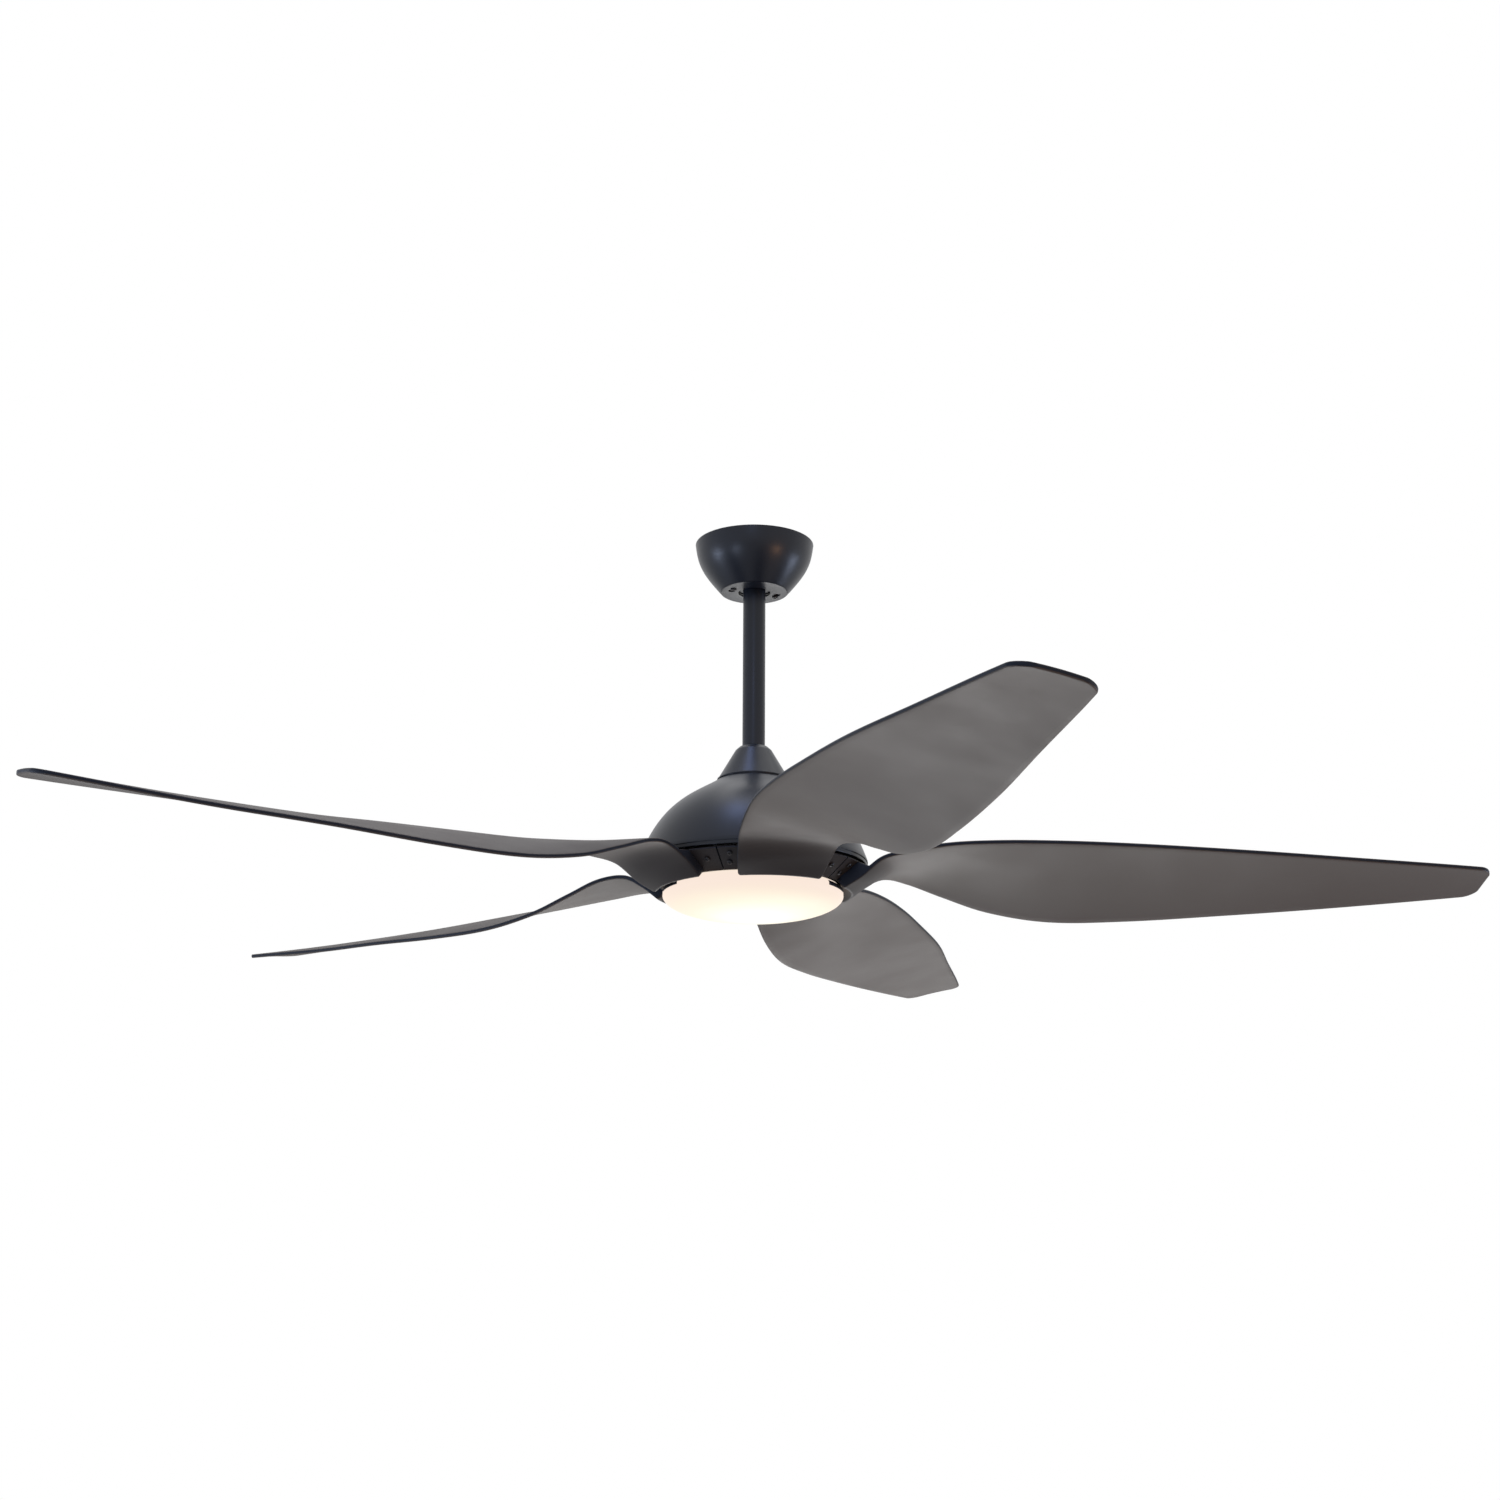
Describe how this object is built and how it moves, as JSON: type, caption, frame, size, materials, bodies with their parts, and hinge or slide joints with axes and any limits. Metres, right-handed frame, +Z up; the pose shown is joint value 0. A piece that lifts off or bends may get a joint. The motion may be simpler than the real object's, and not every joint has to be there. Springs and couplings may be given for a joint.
{
  "type": "ceiling fan with light",
  "caption": "Downrod ceiling fan with sculpted blades growing out of the hub, domed motor housing, bowl canopy and round opal light below.",
  "frame": {"origin": "middle of the hanger bracket's top face, on the ceiling, on the spin axis", "axes": "+Z up into the ceiling along the spin axis; +X along the bracket's length"},
  "size_m": [1.5461, 1.6125, 0.4575],
  "materials": {
    "black_paint": "satin black powder coat with a navy tinge",
    "pewter_abs": "satin metallic gunmetal paint on moulded ABS",
    "opal": "opal acrylic, lit from behind",
    "zinc_steel": "zinc plated",
    "black_steel": "black e-coat",
    "laminated_steel": "stacked laminations",
    "copper": "enamelled winding wire",
    "aluminium": "die cast",
    "white_plastic": "moulded",
    "nylon": "moulded",
    "magnet": "sintered ferrite",
    "cable": "matt sheath"
  },
  "bodies": {
    "hanger": {"hanger_bracket": "zinc_steel", "canopy": "black_paint", "canopy_screw_1": "black_steel", "canopy_screw_2": "black_steel", "receiver_box": "white_plastic", "terminal_block": "white_plastic"},
    "ball_seat": {"ball_seat": "nylon"},
    "motor_frame": {"ball_pin": "zinc_steel", "ball_set_screw": "zinc_steel", "coupling_cover": "black_paint", "downrod": "black_paint", "hanger_ball": "black_paint", "housing_plate": "zinc_steel", "housing_screw_1": "zinc_steel", "housing_screw_2": "zinc_steel", "housing_screw_3": "zinc_steel", "lamp_pan": "white_plastic", "led_board": "white_plastic", "led_driver": "white_plastic", "lower_bearing": "zinc_steel", "motor_shaft": "zinc_steel", "motor_yoke": "black_steel", "pan_washer": "zinc_steel", "shaft_nut": "zinc_steel", "shaft_spacer": "zinc_steel", "stator_core": "laminated_steel", "supply_lead": "cable", "upper_bearing": "zinc_steel", "upper_housing": "black_paint", "winding_lower": "copper", "winding_upper": "copper", "yoke_pin": "zinc_steel", "yoke_set_screw": "zinc_steel"},
    "rotor": {"blade_1": "pewter_abs", "blade_1_screw_a": "black_steel", "blade_1_screw_b": "black_steel", "blade_1_screw_c": "black_steel", "blade_2": "pewter_abs", "blade_2_screw_a": "black_steel", "blade_2_screw_b": "black_steel", "blade_2_screw_c": "black_steel", "blade_3": "pewter_abs", "blade_3_screw_a": "black_steel", "blade_3_screw_b": "black_steel", "blade_3_screw_c": "black_steel", "blade_4": "pewter_abs", "blade_4_screw_a": "black_steel", "blade_4_screw_b": "black_steel", "blade_4_screw_c": "black_steel", "blade_5": "pewter_abs", "blade_5_screw_a": "black_steel", "blade_5_screw_b": "black_steel", "blade_5_screw_c": "black_steel", "blade_carrier": "black_steel", "magnet_ring": "magnet", "rotor_lower_cover": "aluminium", "rotor_upper_cover": "aluminium"},
    "light_cover": {"diffuser": "opal"}
  },
  "joints": [
    {"name": "hanger_swing_x", "type": "hinge", "parent": "hanger", "child": "ball_seat", "pos_m": [0, 0, -0.035], "axis": [1, 0, 0], "range_deg": [-8, 8]},
    {"name": "hanger_swing_y", "type": "hinge", "parent": "ball_seat", "child": "motor_frame", "pos_m": [0, 0, -0.035], "axis": [0, 1, 0], "range_deg": [-8, 8]},
    {"name": "fan_spin", "type": "hinge", "parent": "motor_frame", "child": "rotor", "pos_m": [0, 0, -0.414], "axis": [0, 0, 1], "continuous": true},
    {"name": "light_cover_twist", "type": "hinge", "parent": "motor_frame", "child": "light_cover", "pos_m": [0, 0, -0.414], "axis": [0, 0, 1], "range_deg": [0, 20]}
  ]
}
